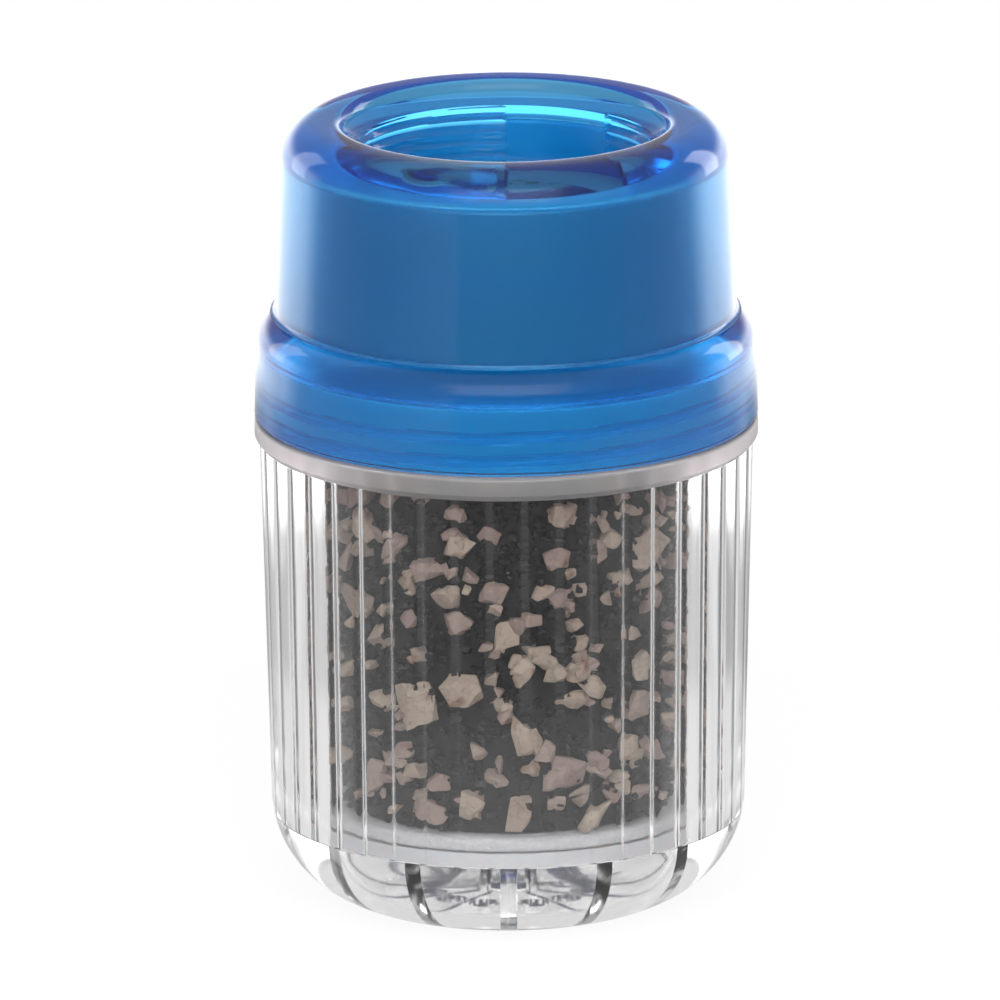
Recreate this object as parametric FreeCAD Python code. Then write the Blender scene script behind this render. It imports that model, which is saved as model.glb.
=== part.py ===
import FreeCAD, Part
import math
import os
from collections import namedtuple
from FreeCAD import Vector

# Faucet mount water filter: a clear ribbed cup of filter media, screwed into a blue cap
# that screws onto the tap. Millimetres, +Z up along the common axis, origin at the centre
# of the foot that the filter stands on.

# The tap's thread, M24 x 1 female, gives all the radii
tap_bore_r = 11.6

# Clear cup, from the foot up
cavity_wider = 3.0
wall_low = 4.07
wall_flare = 0.91
foot_corner_r = 8.57
floor_t = 2.5
chamber_h = 4.2
chamber_ledge = 1.2
chamber_corner_r = 4.0
flange_lip = 0.42
flange_h = 1.85
flange_slope = 0.45
neck_t = 2.2

# Outlet in the floor of the cup and the ribs that carry the sieve
outlet_rib_count = 12
outlet_rib_t = 1.2
outlet_rib_start_r = 3.6
outlet_hole_r = 1.2
outlet_ring_r = 7.0
centre_hole_r = 1.9

# Low upright ribs on the wall of the cavity
wall_rib_count = 36
wall_rib_r = 0.8
wall_rib_proud = 0.1
wall_rib_top_gap = 1.2

# Layers in the cup, from the bottom sieve up
sieve_t = 1.0
bottom_pad_t = 1.2
bed_h = 31.3
top_pad_t = 2.0
top_sieve_t = 1.3
disc_gap = 0.1
bed_gap = 0.4
stone_proud = 0.3
stone_depth = 1.5
sieve_hole_r = 0.75
sieve_hole_pitch = 2.1
sieve_rings = 4
top_hole_r = 1.1
top_hole_pitch = 3.4
top_rings = 2

# Blue cap
skirt_t = 2.0
skirt_draft = 0.26
skirt_gap = 0.15
skirt_round = 2.33
shoulder_step = 1.42
shoulder_t = 3.27
foot_bevel = 0.35
skirt_bevel = 0.25
cone_h = 12.6
cone_draft = 0.6
cone_wall = 1.9
gap_bevel = 0.6
rim_r = 3.0
rim_t = 3.1
lip_round = 1.0

# Threaded socket for the tap
tap_lead = 1.15
tap_lead_h = 0.85
socket_depth = 6.7
tube_wall = 1.85
washer_t = 1.6
washer_w = 3.2
washer_hold = 0.3
washer_gap = 0.1
washer_room = 0.2
seat_t = 1.8
seat_w = 3.6

# Seal between the cup and the cap, and the way for the water above it
seal_t = 1.2
inlet_wider = 0.3

# Closing thread between neck and skirt
thread_pitch = 1.8
thread_turns = 1.5
thread_clearance = 0.3
thread_base_w = 0.9
thread_crest_w = 0.4
thread_root = 0.2
thread_end_gap = 0.15

# Heights that follow from the sizes above
sieve_z = floor_t + chamber_h
bottom_pad_z = sieve_z + sieve_t
bed_z = bottom_pad_z + bottom_pad_t
top_pad_z = bed_z + bed_h
top_sieve_z = top_pad_z + top_pad_t
neck_top_z = top_sieve_z + top_sieve_t
cap_seat_z = neck_top_z + seal_t
shoulder_z = cap_seat_z + shoulder_t
rim_z = shoulder_z + cone_h
top_z = rim_z + rim_r
pocket_top_z = top_z - socket_depth
seat_top_z = pocket_top_z - washer_room - washer_t

# Radii that follow from the sizes above
cavity_r = tap_bore_r + cavity_wider
foot_wall_r = cavity_r + wall_low
foot_r = foot_wall_r - foot_corner_r
flange_wall_r = foot_wall_r + wall_flare
flange_r = flange_wall_r + flange_lip
neck_r = cavity_r + neck_t
chamber_r = cavity_r - chamber_ledge
disc_r = cavity_r - wall_rib_proud - disc_gap
top_disc_r = cavity_r - disc_gap
bed_r = cavity_r - wall_rib_proud - bed_gap
stone_face_r = bed_r + stone_proud
skirt_bore_r = flange_r - skirt_t
thread_h = skirt_bore_r - neck_r - thread_clearance
skirt_top_r = flange_r - skirt_draft
cone_foot_r = skirt_top_r - shoulder_step
cone_top_r = cone_foot_r - cone_draft
tube_r = tap_bore_r + tube_wall
pocket_r = tap_bore_r + washer_hold
washer_r = pocket_r - washer_gap
seat_hole_r = tap_bore_r - seat_w
inlet_r = tap_bore_r + inlet_wider
gap_low_r = cone_foot_r - cone_wall
gap_top_r = cone_top_r - cone_wall

# The flange closes the thread's zone from below
skirt_foot_z = neck_top_z - thread_pitch * thread_turns - thread_base_w - 2 * thread_end_gap
flange_top_z = skirt_foot_z - skirt_gap
thread_z = skirt_foot_z + thread_end_gap + thread_base_w / 2
gap_top_z = top_z - rim_t

Stone = namedtuple("Stone", "azimuth rise spread height turn")

# Crushed stones that show at the wall of the cup: azimuth in degrees from the front, rise and
# height as shares of the bed's height, width in degrees about the axis, turn in degrees. The row
# covers a third of the wall and is laid three times round.
stones = [
    Stone(-55, 0.7, 6.5, 0.083, 8),
    Stone(-47, 0.78, 6, 0.102, -6),
    Stone(-35, 0.75, 5.5, 0.077, -20),
    Stone(-13, 0.76, 9.5, 0.067, 12),
    Stone(-24.5, 0.705, 12, 0.054, 10),
    Stone(-51, 0.58, 7, 0.096, 18),
    Stone(-19, 0.63, 7.5, 0.058, 30),
    Stone(-31, 0.56, 7.5, 0.051, 0),
    Stone(-15, 0.56, 7.5, 0.067, 40),
    Stone(-4, 0.64, 8, 0.064, 5),
    Stone(-28.5, 0.345, 13, 0.128, 15),
    Stone(-13.5, 0.385, 7.5, 0.115, 22),
    Stone(-30, 0.17, 6.5, 0.07, 0),
    Stone(-44, 0.13, 7.5, 0.093, -20),
    Stone(-26, 0.06, 15.5, 0.058, 6),
    Stone(-12, 0.08, 8, 0.064, 45),
    Stone(0, 0.53, 8, 0.067, 20),
    Stone(7, 0.575, 7.5, 0.042, 0),
    Stone(9, 0.49, 7.5, 0.048, -15),
    Stone(4, 0.43, 6.5, 0.073, 25),
    Stone(17, 0.85, 7.5, 0.077, -25),
    Stone(15, 0.73, 8.5, 0.058, 20),
    Stone(11, 0.64, 6, 0.048, 35),
    Stone(24, 0.44, 9.5, 0.061, 10),
    Stone(14, 0.425, 7, 0.058, 40),
    Stone(20, 0.355, 9.5, 0.058, 0),
    Stone(42, 0.31, 9, 0.096, 0),
    Stone(5, 0.27, 7, 0.109, -20),
    Stone(18, 0.155, 13, 0.102, 10),
    Stone(3, 0.06, 7.5, 0.099, 8),
    Stone(28, 0.04, 14.5, 0.045, -8),
    Stone(40, 0.21, 8, 0.064, 30),
    Stone(46, 0.72, 7.5, 0.134, 12),
    Stone(52, 0.84, 7.5, 0.07, 0),
    Stone(48, 0.585, 9, 0.054, 15),
    Stone(44, 0.42, 6, 0.07, -25),
]
stone_rows = 3


def on_profile(radius, height):
    """A point of a half section, at this radius and height."""
    return Vector(radius, 0, height)


def line(start, end):
    """A straight edge of a half section."""
    return Part.LineSegment(on_profile(*start), on_profile(*end)).toShape()


def corner(centre, radius, start_deg, end_deg):
    """A round edge of a half section, between two directions from its centre."""
    points = []
    for degrees in (start_deg, (start_deg + end_deg) / 2, end_deg):
        angle = math.radians(degrees)
        across = centre[0] + radius * math.cos(angle)
        up = centre[1] + radius * math.sin(angle)
        points.append(on_profile(across, up))
    return Part.Arc(*points).toShape()


def turned(edges):
    """The solid that a closed half section makes in one turn about the axis."""
    face = Part.Face(Part.Wire(edges))
    return face.revolve(Vector(0, 0, 0), Vector(0, 0, 1), 360)


def ring(outer_r, inner_r, low_z, height):
    """A flat ring or a round wall."""
    outer = Part.makeCylinder(outer_r, height, Vector(0, 0, low_z))
    inner = Part.makeCylinder(inner_r, height, Vector(0, 0, low_z))
    return outer.cut(inner)


def about_axis(shape, degrees):
    """A copy of the shape, turned about the common axis."""
    copy = shape.copy()
    copy.rotate(Vector(0, 0, 0), Vector(0, 0, 1), degrees)
    return copy


def thread_ridge(root_r, outward, start_z):
    """One raised coarse thread: a trapezoid carried up a helix from the root radius."""
    side = 1 if outward else -1
    base_r = root_r - side * thread_root
    crest_r = root_r + side * thread_h
    widen = thread_root * (thread_base_w - thread_crest_w) / (2 * thread_h)
    half_base = thread_base_w / 2 + widen
    half_crest = thread_crest_w / 2
    section = Part.makePolygon([
        on_profile(base_r, -half_base),
        on_profile(crest_r, -half_crest),
        on_profile(crest_r, half_crest),
        on_profile(base_r, half_base),
        on_profile(base_r, -half_base),
    ])
    helix = Part.makeHelix(thread_pitch, thread_pitch * thread_turns, root_r)
    sweep = Part.BRepOffsetAPI.MakePipeShell(Part.Wire(helix.Edges))
    sweep.setFrenetMode(True)
    sweep.add(section)
    sweep.build()
    sweep.makeSolid()
    ridge = sweep.shape()
    ridge.translate(Vector(0, 0, start_z))
    return ridge


def cup():
    """The clear moulded cup: thick round wall, flange, threaded neck, ribs and outlet."""
    wall_foot = (foot_wall_r, foot_corner_r)
    flange_foot_z = flange_top_z - flange_h
    chamber_floor_r = chamber_r - chamber_corner_r
    chamber_round_z = floor_t + chamber_corner_r
    body = turned([
        line((0, 0), (foot_r, 0)),
        corner((foot_r, foot_corner_r), foot_corner_r, -90, 0),
        line(wall_foot, (flange_wall_r, flange_foot_z)),
        line((flange_wall_r, flange_foot_z), (flange_r, flange_foot_z + flange_slope)),
        line((flange_r, flange_foot_z + flange_slope), (flange_r, flange_top_z)),
        line((flange_r, flange_top_z), (neck_r, flange_top_z)),
        line((neck_r, flange_top_z), (neck_r, neck_top_z)),
        line((neck_r, neck_top_z), (cavity_r, neck_top_z)),
        line((cavity_r, neck_top_z), (cavity_r, sieve_z)),
        line((cavity_r, sieve_z), (chamber_r, sieve_z)),
        line((chamber_r, sieve_z), (chamber_r, chamber_round_z)),
        corner((chamber_floor_r, chamber_round_z), chamber_corner_r, 0, -90),
        line((chamber_floor_r, floor_t), (0, floor_t)),
        line((0, floor_t), (0, 0)),
    ])
    ribs = wall_ribs() + outlet_ribs()
    body = body.fuse(ribs + [thread_ridge(neck_r, True, thread_z)])
    return body.cut(outlet_holes()).removeSplitter()


def wall_ribs():
    """Low rounded upright ribs that stand a little out of the cavity's wall."""
    height = top_pad_z - wall_rib_top_gap - sieve_z
    sunk = wall_rib_r - wall_rib_proud
    rib = Part.makeCylinder(wall_rib_r, height, Vector(cavity_r + sunk, 0, sieve_z))
    step = 360 / wall_rib_count
    return [about_axis(rib, step * (place + 0.5)) for place in range(wall_rib_count)]


def outlet_ribs():
    """Radial ribs under the bottom sieve, with a channel for the water between each pair."""
    length = chamber_r + chamber_ledge / 2 - outlet_rib_start_r
    corner_point = Vector(outlet_rib_start_r, -outlet_rib_t / 2, floor_t / 2)
    rib = Part.makeBox(length, outlet_rib_t, floor_t / 2 + chamber_h, corner_point)
    step = 360 / outlet_rib_count
    return [about_axis(rib, step * place) for place in range(outlet_rib_count)]


def outlet_holes():
    """The hole in the middle of the floor and one in each channel around it."""
    deep = 2 * floor_t
    hole = Part.makeCylinder(outlet_hole_r, deep, Vector(outlet_ring_r, 0, -floor_t / 2))
    step = 360 / outlet_rib_count
    holes = [about_axis(hole, step * (place + 0.5)) for place in range(outlet_rib_count)]
    holes.append(Part.makeCylinder(centre_hole_r, deep, Vector(0, 0, -floor_t / 2)))
    return holes


def cap():
    """The blue moulded cap: outer shell with skirt and cone, and the socket tube inside it."""
    skirt_centre = (skirt_top_r - skirt_round, shoulder_z - skirt_round)
    meet_r = cone_foot_r + foot_bevel
    meet_deg = math.degrees(math.acos((meet_r - skirt_centre[0]) / skirt_round))
    skirt_meet = (meet_r, skirt_centre[1] + skirt_round * math.sin(math.radians(meet_deg)))
    lip_r = tap_bore_r + tap_lead
    lip_z = top_z - lip_round
    seat_foot_z = seat_top_z - seat_t
    gap_side_z = gap_top_z - gap_bevel
    body = turned([
        line((skirt_bore_r, skirt_foot_z), (flange_r - skirt_bevel, skirt_foot_z)),
        line((flange_r - skirt_bevel, skirt_foot_z), (flange_r, skirt_foot_z + skirt_bevel)),
        line((flange_r, skirt_foot_z + skirt_bevel), (skirt_top_r, skirt_centre[1])),
        corner(skirt_centre, skirt_round, 0, meet_deg),
        line(skirt_meet, (cone_foot_r, skirt_meet[1] + foot_bevel)),
        line((cone_foot_r, skirt_meet[1] + foot_bevel), (cone_top_r, rim_z)),
        corner((cone_top_r - rim_r, rim_z), rim_r, 0, 90),
        line((cone_top_r - rim_r, top_z), (lip_r + lip_round, top_z)),
        corner((lip_r + lip_round, lip_z), lip_round, 90, 180),
        line((lip_r, lip_z), (tap_bore_r, lip_z - tap_lead_h)),
        line((tap_bore_r, lip_z - tap_lead_h), (tap_bore_r, pocket_top_z)),
        line((tap_bore_r, pocket_top_z), (pocket_r, pocket_top_z)),
        line((pocket_r, pocket_top_z), (pocket_r, seat_top_z)),
        line((pocket_r, seat_top_z), (seat_hole_r, seat_top_z)),
        line((seat_hole_r, seat_top_z), (seat_hole_r, seat_foot_z)),
        line((seat_hole_r, seat_foot_z), (inlet_r, seat_foot_z)),
        line((inlet_r, seat_foot_z), (inlet_r, cap_seat_z)),
        line((inlet_r, cap_seat_z), (tube_r, cap_seat_z)),
        line((tube_r, cap_seat_z), (tube_r, gap_side_z)),
        line((tube_r, gap_side_z), (tube_r + gap_bevel, gap_top_z)),
        line((tube_r + gap_bevel, gap_top_z), (gap_top_r - gap_bevel, gap_top_z)),
        line((gap_top_r - gap_bevel, gap_top_z), (gap_top_r, gap_side_z)),
        line((gap_top_r, gap_side_z), (gap_low_r, shoulder_z)),
        line((gap_low_r, shoulder_z), (gap_low_r, cap_seat_z)),
        line((gap_low_r, cap_seat_z), (skirt_bore_r, cap_seat_z)),
        line((skirt_bore_r, cap_seat_z), (skirt_bore_r, skirt_foot_z)),
    ])
    ridge = about_axis(thread_ridge(skirt_bore_r, False, thread_z), 180)
    return body.fuse(ridge).Solids[0]


def sieve(outer_r, low_z, thick, hole_r, pitch, rings):
    """A round disc with holes in hexagonal rings about its middle."""
    disc = Part.makeCylinder(outer_r, thick, Vector(0, 0, low_z))
    below = Vector(0, 0, low_z - thick)
    centres = [below]
    for ring_number in range(1, rings + 1):
        for place in range(6 * ring_number):
            side, along = divmod(place, ring_number)
            start = about_point(ring_number * pitch, 60 * side)
            end = about_point(ring_number * pitch, 60 * side + 60)
            centres.append(below + start + (end - start) * (along / ring_number))
    return disc.cut([six_sided_hole(centre, hole_r, 3 * thick) for centre in centres])


def six_sided_hole(centre, hole_r, height):
    """The prism that cuts one honeycomb hole, from its centre up."""
    corners = [centre + about_point(hole_r, 60 * side + 30) for side in range(7)]
    return Part.Face(Part.makePolygon(corners)).extrude(Vector(0, 0, height))


def about_point(radius, degrees):
    """A point at this radius and direction from the axis."""
    angle = math.radians(degrees)
    return Vector(radius * math.cos(angle), radius * math.sin(angle), 0)


def crushed_stone(stone, row):
    """One broken stone: what two crossed blocks share, pushed out until a corner meets the wall."""
    width = math.radians(stone.spread) * stone_face_r
    height = stone.height * bed_h
    start = Vector(-width / 2, -stone_depth / 2, -height / 2)
    block = Part.makeBox(width, stone_depth, height, start)
    cross = block.copy()
    cross.rotate(Vector(0, 0, 0), Vector(0, 1, 0), 40)
    cross.rotate(Vector(0, 0, 0), Vector(0, 0, 1), 16)
    chip = block.common(cross)
    chip.rotate(Vector(0, 0, 0), Vector(0, 1, 0), stone.turn)
    rise = stone.rise if row % 2 == 0 else 1 - stone.rise
    reach = (width + height) / 4
    low = bed_z + reach
    high = top_pad_z - reach
    centre_z = min(max(bed_z + bed_h * rise, low), high)
    seat_r = min(math.sqrt(stone_face_r ** 2 - v.X ** 2) + v.Y for v in chip.Vertexes)
    chip.translate(Vector(0, -seat_r, centre_z))
    return about_axis(chip, stone.azimuth + 360 / stone_rows * row)


def mineral_stones():
    """All the stones that show at the wall."""
    chips = [crushed_stone(stone, row) for row in range(stone_rows) for stone in stones]
    return Part.makeCompound([chip.Solids[0] for chip in chips])


def charcoal_bed(chips):
    """The packed charcoal, with a pocket where each stone sits."""
    bed = Part.makeCylinder(bed_r, bed_h, Vector(0, 0, bed_z))
    return bed.cut(chips)


def disc(outer_r, low_z, thick):
    """A plain round pad."""
    return Part.makeCylinder(outer_r, thick, Vector(0, 0, low_z))


def build():
    """Every piece by the name of its node."""
    chips = mineral_stones()
    return {
        "cup": cup(),
        "bottom_sieve": sieve(disc_r, sieve_z, sieve_t, sieve_hole_r, sieve_hole_pitch, sieve_rings),
        "bottom_pad": disc(disc_r, bottom_pad_z, bottom_pad_t),
        "charcoal_bed": charcoal_bed(chips),
        "mineral_stones": chips,
        "top_pad": disc(top_disc_r, top_pad_z, top_pad_t),
        "top_sieve": sieve(top_disc_r, top_sieve_z, top_sieve_t, top_hole_r, top_hole_pitch, top_rings),
        "seal_ring": ring(neck_r, inlet_r, neck_top_z, seal_t),
        "cap": cap(),
        "tap_washer": ring(washer_r, washer_r - washer_w, seat_top_z, washer_t),
    }


os.makedirs("parts", exist_ok=True)
for name, shape in build().items():
    shape.exportStep("parts/" + name + ".step")
    print(name, len(shape.Solids), shape.isValid(), round(shape.Volume, 1))
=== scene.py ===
"""The looks of a faucet mount water filter: a clear cup of charcoal and stones under a blue screw cap."""

import logging
import math
import random
from collections.abc import Callable
from dataclasses import dataclass
from enum import Enum

import bmesh
import bpy
from bmesh.types import BMesh, BMFace, BMVert
from bpy.types import Material, Mesh, Node, NodeSocket, NodeTree, Object
from mathutils import Matrix, Vector, noise


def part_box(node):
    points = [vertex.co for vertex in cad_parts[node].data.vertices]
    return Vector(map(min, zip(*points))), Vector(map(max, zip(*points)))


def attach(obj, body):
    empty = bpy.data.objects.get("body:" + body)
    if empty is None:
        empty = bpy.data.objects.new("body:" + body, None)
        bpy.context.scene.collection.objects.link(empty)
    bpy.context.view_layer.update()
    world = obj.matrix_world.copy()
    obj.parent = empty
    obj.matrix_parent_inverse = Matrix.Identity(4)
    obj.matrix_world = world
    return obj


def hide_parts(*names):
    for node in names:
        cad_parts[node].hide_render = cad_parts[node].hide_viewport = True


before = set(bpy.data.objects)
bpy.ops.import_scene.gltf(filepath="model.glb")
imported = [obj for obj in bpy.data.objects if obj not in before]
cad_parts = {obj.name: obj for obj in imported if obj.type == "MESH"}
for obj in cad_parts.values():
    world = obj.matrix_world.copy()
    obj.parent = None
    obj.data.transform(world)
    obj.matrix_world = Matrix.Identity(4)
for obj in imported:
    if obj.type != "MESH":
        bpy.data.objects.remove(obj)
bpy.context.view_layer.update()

Pair = tuple[float, float]
Pairs = tuple[Pair, ...]
Triple = tuple[float, float, float]

WHITE = (1.0, 1.0, 1.0, 1.0)
MM = 0.001
FULL_TURN = 2 * math.pi
SHARP_ANGLE = math.radians(38)
ICOSAHEDRON_CORNERS = 12
# How far above the skirt's foot the closing thread starts, in millimetres
THREAD_RISE = 0.6
# How near a point lies to another, to a wall or to a stretch of rows to count as there, in millimetres
WELD = 1e-4
ON_WALL = 0.02
ROW_ENDS = 0.05

log = logging.getLogger("water_filter")


def linear(colour: str) -> tuple[float, float, float, float]:
    """Turn an sRGB hex colour into the linear colour that a shader takes.

    Args:
        colour: Six hex digits, with or without a leading #.

    Returns:
        Red, green, blue and alpha, each from 0 to 1.
    """
    digits = colour.lstrip("#")
    values = [int(digits[place:place + 2], 16) / 255 for place in (0, 2, 4)]
    red, green, blue = (v / 12.92 if v <= 0.04045 else ((v + 0.055) / 1.055) ** 2.4 for v in values)
    return red, green, blue, 1.0


def add_node(tree: NodeTree, kind: str, inputs: dict | None = None, **settings: str) -> Node:
    """Add a node to a tree, with its values, links and settings.

    Args:
        tree: The node tree.
        kind: The node's type, without ShaderNode.
        inputs: A value or an output socket for each input, by name or number.
        settings: Properties of the node.

    Returns:
        The new node.
    """
    node = tree.nodes.new("ShaderNode" + kind)
    for name, value in settings.items():
        setattr(node, name, value)
    for name, value in (inputs or {}).items():
        if isinstance(value, NodeSocket):
            tree.links.new(value, node.inputs[name])
        else:
            node.inputs[name].default_value = value
    return node


def new_material(name: str) -> tuple[Material, NodeTree, Node]:
    """Start a material with an empty tree and its output.

    Args:
        name: What the material is and how it was made.

    Returns:
        The material, its node tree and its output node.
    """
    material = bpy.data.materials.new(name)
    material.use_nodes = True
    tree = material.node_tree
    tree.nodes.clear()
    return material, tree, add_node(tree, "OutputMaterial")


def mixed_colour(tree: NodeTree, share: object, first: object, second: object) -> NodeSocket:
    """Mix two colours by a share; each may be a value or a socket."""
    return add_node(tree, "Mix", {0: share, 6: first, 7: second}, data_type="RGBA").outputs[2]


def mixed_level(tree: NodeTree, share: object, first: object, second: object) -> NodeSocket:
    """Mix two levels by a share; each may be a value or a socket."""
    return add_node(tree, "Mix", {0: share, 2: first, 3: second}, data_type="FLOAT").outputs[0]


def soft_step(tree: NodeTree, value: NodeSocket, low: float, high: float) -> NodeSocket:
    """Give a share that rises softly from 0 to 1 between a low and a high value."""
    return add_node(tree, "MapRange", {
        "Value": value, "From Min": low, "From Max": high}, interpolation_type="SMOOTHSTEP").outputs["Result"]


def fixed_noise(tree: NodeTree, size: float, detail: float) -> NodeSocket:
    """Give noise that is fixed to the piece.

    Args:
        tree: The node tree.
        size: The size of its grain in millimetres.
        detail: How many finer grains it has.

    Returns:
        The noise, from 0 to 1.
    """
    coords = add_node(tree, "TexCoord")
    return add_node(tree, "TexNoise", {
        "Vector": coords.outputs["Object"], "Scale": 1 / (size * MM), "Detail": detail}).outputs["Fac"]


def bumps(tree: NodeTree, height: NodeSocket, strength: float, depth: float) -> NodeSocket:
    """Give the normals of a surface with small bumps.

    Args:
        tree: The node tree.
        height: How high the surface is, from 0 to 1.
        strength: How much the bumps show, from 0 to 1.
        depth: Their depth in millimetres.

    Returns:
        The normals.
    """
    return add_node(tree, "Bump", {
        "Strength": strength, "Distance": depth * MM, "Height": height}).outputs["Normal"]


@dataclass(frozen=True)
class Corner:
    """A corner of a half section, in millimetres from the axis and the foot, and its round."""

    radius: float
    height: float
    round: float = 0.0
    steps: int = 4


@dataclass(frozen=True)
class FineRows:
    """A stretch of a half section that gets many rows, in millimetres."""

    radius: float
    low: float
    high: float
    row: float


def half_section(corners: list[Corner]) -> list[Vector]:
    """Lay out a closed half section, with an arc at each rounded corner.

    Args:
        corners: The corners in order.

    Returns:
        The points, as radius and height in millimetres.
    """
    points = []
    for before, here, after in zip(corners[-1:] + corners[:-1], corners, corners[1:] + corners[:1]):
        middle = Vector((here.radius, here.height))
        if not here.round:
            points.append(middle)
            continue
        to_before = (Vector((before.radius, before.height)) - middle).normalized()
        to_after = (Vector((after.radius, after.height)) - middle).normalized()
        half = to_before.angle(to_after) / 2
        centre = middle + (to_before + to_after).normalized() * (here.round / math.sin(half))
        reach = here.round / math.tan(half)
        start = middle + to_before * reach - centre
        end = middle + to_after * reach - centre
        shares = [step / here.steps for step in range(here.steps + 1)]
        points += [centre + start.slerp(end, share) * start.length for share in shares]
    return points


def turned(corners: list[Corner], columns: int, fine: list[FineRows]) -> BMesh:
    """Turn a half section once about the axis, in millimetres.

    Args:
        corners: The half section's corners.
        columns: How many columns of faces go round.
        fine: Upright stretches of the section that get many rows.

    Returns:
        A closed mesh with its faces outwards.
    """
    bm = bmesh.new()
    ring = [bm.verts.new((p.x, 0, p.y)) for p in half_section(corners)]
    for pair in zip(ring, ring[1:] + ring[:1]):
        bm.edges.new(pair)
    for rows in fine:
        for edge in list(bm.edges):
            ends = sorted(v.co.z for v in edge.verts)
            upright = all(abs(v.co.x - rows.radius) < ON_WALL for v in edge.verts)
            if upright and ends[0] > rows.low - ROW_ENDS and ends[1] < rows.high + ROW_ENDS:
                cuts = round((ends[1] - ends[0]) / rows.row) - 1
                bmesh.ops.subdivide_edges(bm, edges=[edge], cuts=max(cuts, 0))
    bmesh.ops.spin(bm, geom=list(bm.verts) + list(bm.edges), cent=(0, 0, 0), axis=(0, 0, 1),
                   angle=FULL_TURN, steps=columns, use_merge=True)
    bmesh.ops.remove_doubles(bm, verts=bm.verts, dist=WELD)
    bmesh.ops.recalc_face_normals(bm, faces=bm.faces)
    return bm


def as_mesh(bm: BMesh, name: str) -> Mesh:
    """Turn a bmesh, which is freed, into a mesh with a name."""
    mesh = bpy.data.meshes.new(name)
    bm.to_mesh(mesh)
    bm.free()
    return mesh


def azimuth(point: Vector) -> float:
    """Give the direction of a point about the axis, in radians from +X."""
    return math.atan2(point.y, point.x)


def move_out(vert: BMVert, distance: float) -> None:
    """Move a vertex away from the axis by a distance in millimetres."""
    reach = math.hypot(vert.co.x, vert.co.y)
    vert.co.x *= 1 + distance / reach
    vert.co.y *= 1 + distance / reach


def finished(bm: BMesh, name: str, body: str, materials: list[Material],
             nodes: list[str], sharp: float = SHARP_ANGLE) -> Object:
    """Turn a bmesh in millimetres into a piece that stands for CAD nodes.

    Args:
        bm: The mesh, which is freed.
        name: The piece's name.
        body: The CAD body that it rides on.
        materials: Its materials in order.
        nodes: The CAD nodes that it replaces.
        sharp: Edges that turn by more than this angle stay sharp; 0 gives flat faces.

    Returns:
        The piece.
    """
    bmesh.ops.scale(bm, vec=(MM, MM, MM), verts=bm.verts)
    for face in bm.faces:
        face.smooth = sharp > 0
    for edge in bm.edges:
        edge.smooth = edge.is_manifold and edge.calc_face_angle(0) < sharp
    mesh = as_mesh(bm, name)
    for material in materials:
        mesh.materials.append(material)
    piece = bpy.data.objects.new(name, mesh)
    bpy.context.scene.collection.objects.link(piece)
    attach(piece, body)
    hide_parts(*nodes)
    log.info("%s: %d faces", name, len(mesh.polygons))
    return piece


class Joining(Enum):
    """What a tool does to a mesh."""

    ADD = "UNION"
    CUT = "DIFFERENCE"


def combined(bm: BMesh, tool: BMesh, joining: Joining) -> BMesh:
    """Join a tool to a mesh or cut it away.

    Args:
        bm: The mesh, which is freed.
        tool: The other mesh, which is freed.
        joining: Whether the tool is added or cut away.

    Returns:
        The new mesh.
    """
    objects = []
    for source in (bm, tool):
        objects.append(bpy.data.objects.new("boolean", as_mesh(source, "boolean")))
        bpy.context.scene.collection.objects.link(objects[-1])
    modifier = objects[0].modifiers.new("Boolean", "BOOLEAN")
    modifier.operation = joining.value
    modifier.solver = "EXACT"
    modifier.object = objects[1]
    depsgraph = bpy.context.evaluated_depsgraph_get()
    result = bmesh.new()
    result.from_mesh(bpy.data.meshes.new_from_object(objects[0].evaluated_get(depsgraph)))
    for made in objects:
        bpy.data.objects.remove(made)
    return result


def rough(point: Vector, lumps: Pairs) -> float:
    """Give the height of a rough surface at a point, from how often and how high each size of lump is."""
    return sum(noise.noise(point * often) * high for often, high in lumps)


class Grain(Enum):
    """The grain that the mould gave a face, by the place of its finish in the piece's list."""

    NONE = 0
    COARSE = 1
    FINE = 2


def give_grain(bm: BMesh, grain_at: Callable[[float, float], Grain]) -> None:
    """Give each face the finish of its grain.

    Args:
        bm: The mesh.
        grain_at: Gives the grain for a distance from the axis and a height, in millimetres.
    """
    for face in bm.faces:
        middle = face.calc_center_median()
        face.material_index = grain_at(math.hypot(middle.x, middle.y), middle.z).value


def radius_of(node: str) -> float:
    """Give a CAD node's largest radius in millimetres."""
    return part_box(node)[1][0] / MM


def low_of(node: str) -> float:
    """Give the height of a CAD node's lowest point in millimetres."""
    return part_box(node)[0][2] / MM


def top_of(node: str) -> float:
    """Give the height of a CAD node's highest point in millimetres."""
    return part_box(node)[1][2] / MM


@dataclass(frozen=True)
class Finish:
    """A material and how it was made; each kind says what feeds its shader."""

    name: str
    roughness: float

    def feeds(self, tree: NodeTree) -> dict:
        """Give the shader's values and sockets, apart from the roughness."""
        return {}

    def build(self) -> Material:
        """Make the material.

        Returns:
            The material.
        """
        material, tree, output = new_material(self.name)
        shader = add_node(tree, "BsdfPrincipled", {"Roughness": self.roughness, **self.feeds(tree)})
        tree.links.new(shader.outputs["BSDF"], output.inputs["Surface"])
        return material


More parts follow.
